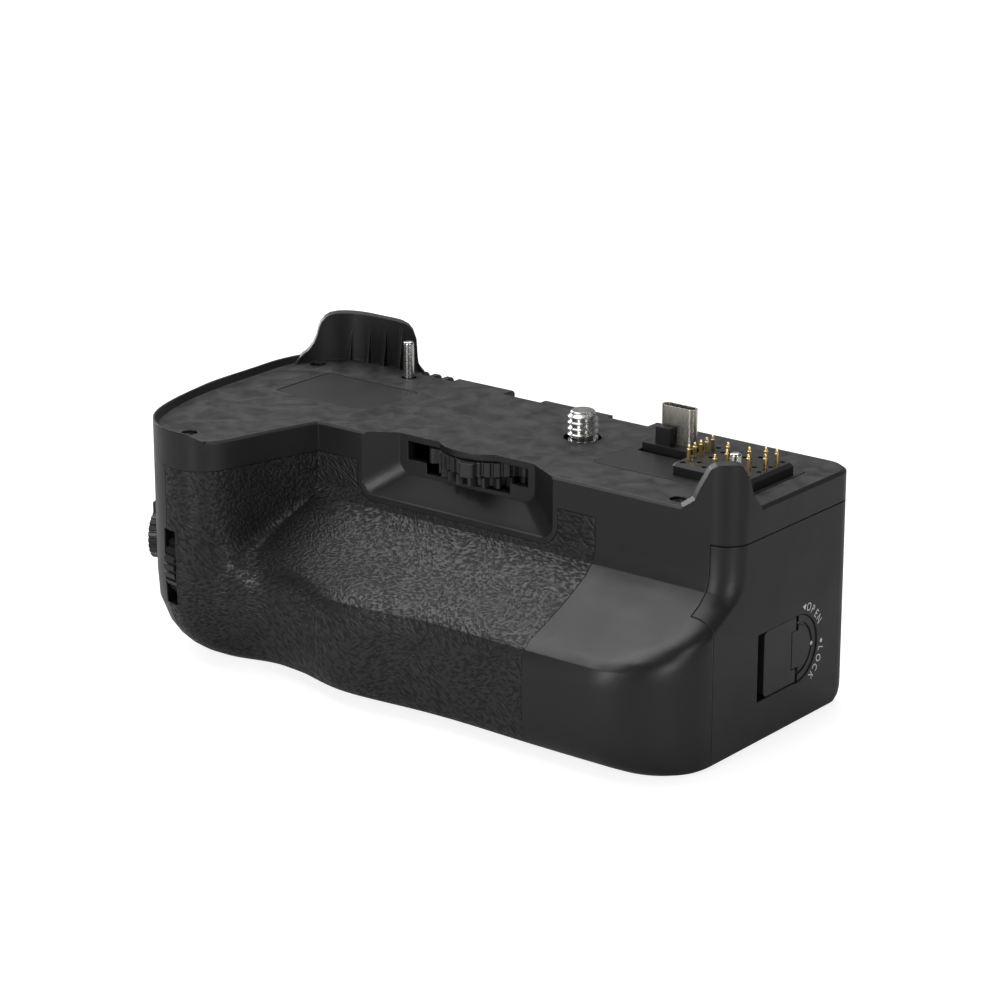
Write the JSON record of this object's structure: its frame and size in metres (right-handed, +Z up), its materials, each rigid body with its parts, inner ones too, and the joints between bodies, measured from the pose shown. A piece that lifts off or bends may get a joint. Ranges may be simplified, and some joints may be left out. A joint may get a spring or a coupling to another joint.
{
  "type": "camera battery grip",
  "caption": "Vertical battery grip for a camera: deck with mounting screw, wheel, plug and contacts, hand grip with controls, and a latched battery tray.",
  "frame": {"origin": "middle of the underside, at the foot of the bounding box", "axes": "+X towards the end with the battery tray, +Y towards the back, +Z up to the camera"},
  "size_m": [0.1392, 0.0751, 0.06],
  "materials": {
    "housing_plastic": "fine-textured black moulding, mottled and soft to the touch on the deck",
    "panel_plastic": "fine-textured black moulding",
    "cap_plastic": "fine-textured black moulding",
    "patch_plastic": "smooth satin black",
    "plate_plastic": "satin black",
    "block_plastic": "satin black",
    "grip_rubber": "black rubber with a leather grain",
    "stick_rubber": "smooth black rubber",
    "dial_plastic": "ribbed black moulding",
    "button_plastic": "smooth black",
    "latch_plastic": "satin black with white marks",
    "insert_plastic": "black insert",
    "tray_plastic": "plain black moulding",
    "battery_plastic": "dark grey pack",
    "wheel_metal": "black metal with a fine knurl",
    "frame_metal": "plain die-cast",
    "board_laminate": "green solder mask",
    "gold_contact": "gold-plated",
    "plug_steel": "folded stainless sheet",
    "pin_steel": "turned stainless",
    "screw_steel": "blackened",
    "foot_steel": "plain stainless",
    "bush_brass": "turned brass"
  },
  "bodies": {
    "housing": {"main_housing": "housing_plastic", "control_panel": "panel_plastic", "front_grip_cover": "grip_rubber", "thumb_pad": "grip_rubber", "deck_patch": "patch_plastic", "connector_plate": "plate_plastic", "contact_block": "block_plastic", "plug_shell": "plug_steel", "plug_insert": "insert_plastic", "plug_base": "block_plastic", "locating_pins": "pin_steel", "deck_screws": "screw_steel", "foot_plate": "foot_steel", "tripod_socket": "foot_steel", "foot_screws": "screw_steel", "inner_frame": "frame_metal", "circuit_board": "board_laminate", "battery_contacts": "gold_contact", "wheel_axle": "pin_steel", "screw_bush": "bush_brass", "front_dial_axle": "pin_steel", "rear_dial_axle": "pin_steel", "button_switches": "block_plastic"},
    "tray": {"end_cap": "cap_plastic", "battery_tray": "tray_plastic", "inner_battery": "battery_plastic", "outer_battery": "battery_plastic", "latch_knob": "latch_plastic", "latch_hinge_pin": "pin_steel", "latch_spindle": "pin_steel", "latch_bolt": "frame_metal"},
    "handle": {"latch_handle": "latch_plastic"},
    "wheel": {"lock_wheel": "wheel_metal"},
    "screw": {"camera_screw": "pin_steel"},
    "front_dial": {"front_dial": "dial_plastic"},
    "rear_dial": {"rear_dial": "dial_plastic"},
    "lever": {"lock_lever": "dial_plastic"},
    "shutter": {"shutter_button": "button_plastic"},
    "af": {"af_button": "button_plastic"},
    "function": {"function_button": "button_plastic"},
    "ring": {"gimbal_ring": "block_plastic"},
    "stick": {"thumb_stick": "stick_rubber"},
    "contacts": {"contact_pins": "gold_contact"}
  },
  "joints": [
    {"name": "tray_slide", "type": "slide", "parent": "housing", "child": "tray", "axis": [1, 0, 0], "range_m": [0, 0.112]},
    {"name": "handle_flip", "type": "hinge", "parent": "tray", "child": "handle", "pos_m": [0.06865, 0.01345, 0.0163], "axis": [0, 0, 1], "range_deg": [0, 90]},
    {"name": "wheel_spin", "type": "hinge", "parent": "housing", "child": "wheel", "pos_m": [0.0015, 0.0038, 0.045], "axis": [0, 0, 1], "continuous": true},
    {"name": "screw_spin", "type": "hinge", "parent": "housing", "child": "screw", "pos_m": [0.015, 0.0156, 0.045], "axis": [0, 0, 1], "continuous": true},
    {"name": "front_dial_spin", "type": "hinge", "parent": "housing", "child": "front_dial", "pos_m": [-0.05105, -0.0285, 0.0212], "axis": [0.9903, -0.1392, 0], "continuous": true},
    {"name": "rear_dial_spin", "type": "hinge", "parent": "housing", "child": "rear_dial", "pos_m": [-0.046, 0.0259, 0.0386], "axis": [0, 0, 1], "continuous": true},
    {"name": "lever_turn", "type": "hinge", "parent": "housing", "child": "lever", "pos_m": [-0.0649, -0.0245, 0.0225], "axis": [-0.9026, -0.4305, 0], "range_deg": [0, 40]},
    {"name": "shutter_press", "type": "slide", "parent": "housing", "child": "shutter", "axis": [0.9026, 0.4305, 0], "range_m": [0, 0.0012], "stiffness_N_per_m": 300},
    {"name": "af_press", "type": "slide", "parent": "housing", "child": "af", "axis": [0, -1, 0], "range_m": [0, 0.0006], "stiffness_N_per_m": 300},
    {"name": "function_press", "type": "slide", "parent": "housing", "child": "function", "axis": [0, -1, 0], "range_m": [0, 0.0006], "stiffness_N_per_m": 300},
    {"name": "ring_tilt", "type": "hinge", "parent": "housing", "child": "ring", "pos_m": [-0.0545, 0.029, 0.024], "axis": [1, 0, 0], "range_deg": [-8, 8], "stiffness_Nm_per_rad": 0.002},
    {"name": "stick_tilt", "type": "hinge", "parent": "ring", "child": "stick", "pos_m": [-0.0545, 0.029, 0.024], "axis": [0, 0, 1], "range_deg": [-8, 8], "stiffness_Nm_per_rad": 0.002},
    {"name": "contacts_press", "type": "slide", "parent": "housing", "child": "contacts", "axis": [0, 0, -1], "range_m": [0, 0.0015], "stiffness_N_per_m": 500}
  ],
  "couplings": [
    {"joint": "screw_spin", "follows": "wheel_spin", "ratio": -1.5}
  ]
}
